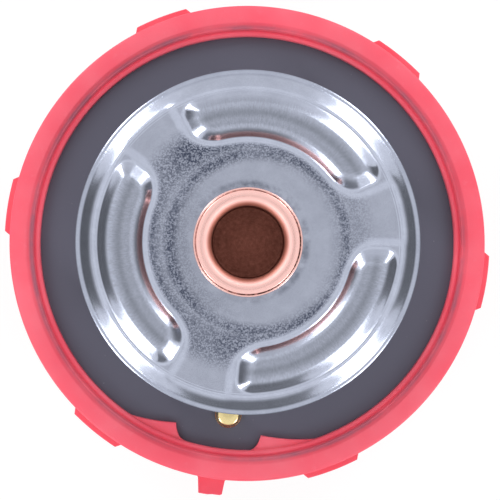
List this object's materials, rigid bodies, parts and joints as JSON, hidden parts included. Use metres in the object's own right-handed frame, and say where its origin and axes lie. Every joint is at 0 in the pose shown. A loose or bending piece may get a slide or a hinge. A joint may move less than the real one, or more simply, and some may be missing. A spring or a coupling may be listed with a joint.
{
  "type": "engine thermostat",
  "caption": "Wax-element engine coolant thermostat: flange with moulded rubber seal, outlet bridge, inlet frame and sprung main valve, and a ribbed bypass disc round the cup's rolled rim.",
  "frame": {"origin": "on the element's axis, half way through the flange's thickness, inside the seal's outer rim", "axes": "+Z along the element's axis towards the inlet side and the bypass disc; +X and +Y across the flange, with the seal's key tab near -Y"},
  "size_m": [0.0618, 0.0622, 0.05],
  "materials": {
    "zinc_grey_steel": "matt dark grey surface",
    "silicone": "matt moulded silicone",
    "bright_zinc": "bright zinc plated, pressed",
    "steel": "plain stainless steel",
    "spring_steel": "drawn stainless spring wire",
    "copper": "deep-drawn copper",
    "brass": "turned brass",
    "black_rubber": "moulded black rubber",
    "plastic_ring": "natural fluoroplastic",
    "wax": "copper-filled wax"
  },
  "bodies": {
    "root": {"flange": "zinc_grey_steel", "perimeter_seal": "silicone", "top_bridge": "steel", "piston": "steel", "lower_frame": "steel", "main_spring": "spring_steel"},
    "element": {"element_guide": "brass", "wax_cup": "copper", "rubber_boot": "black_rubber", "boot_washer": "plastic_ring", "wax_charge": "wax", "main_valve": "steel", "valve_seal": "black_rubber", "valve_ring": "spring_steel", "bypass_spring_seat": "steel", "bypass_spring": "spring_steel"},
    "bypass": {"bypass_valve": "bright_zinc"},
    "vent_pin": {"jiggle_pin": "brass", "jiggle_cap": "brass"}
  },
  "joints": [
    {"name": "valve_lift", "type": "slide", "parent": "root", "child": "element", "axis": [0, 0, 1], "range_m": [0, 0.008], "stiffness_N_per_m": 2000, "springref_m": -0.006, "deforming": ["main_spring"]},
    {"name": "bypass_give", "type": "slide", "parent": "element", "child": "bypass", "axis": [0, 0, 1], "range_m": [-0.0035, 0], "stiffness_N_per_m": 300, "springref_m": 0.004, "deforming": ["bypass_spring"]},
    {"name": "vent_rattle", "type": "slide", "parent": "root", "child": "vent_pin", "axis": [0, 0, 1], "range_m": [0, 0.0018]}
  ]
}
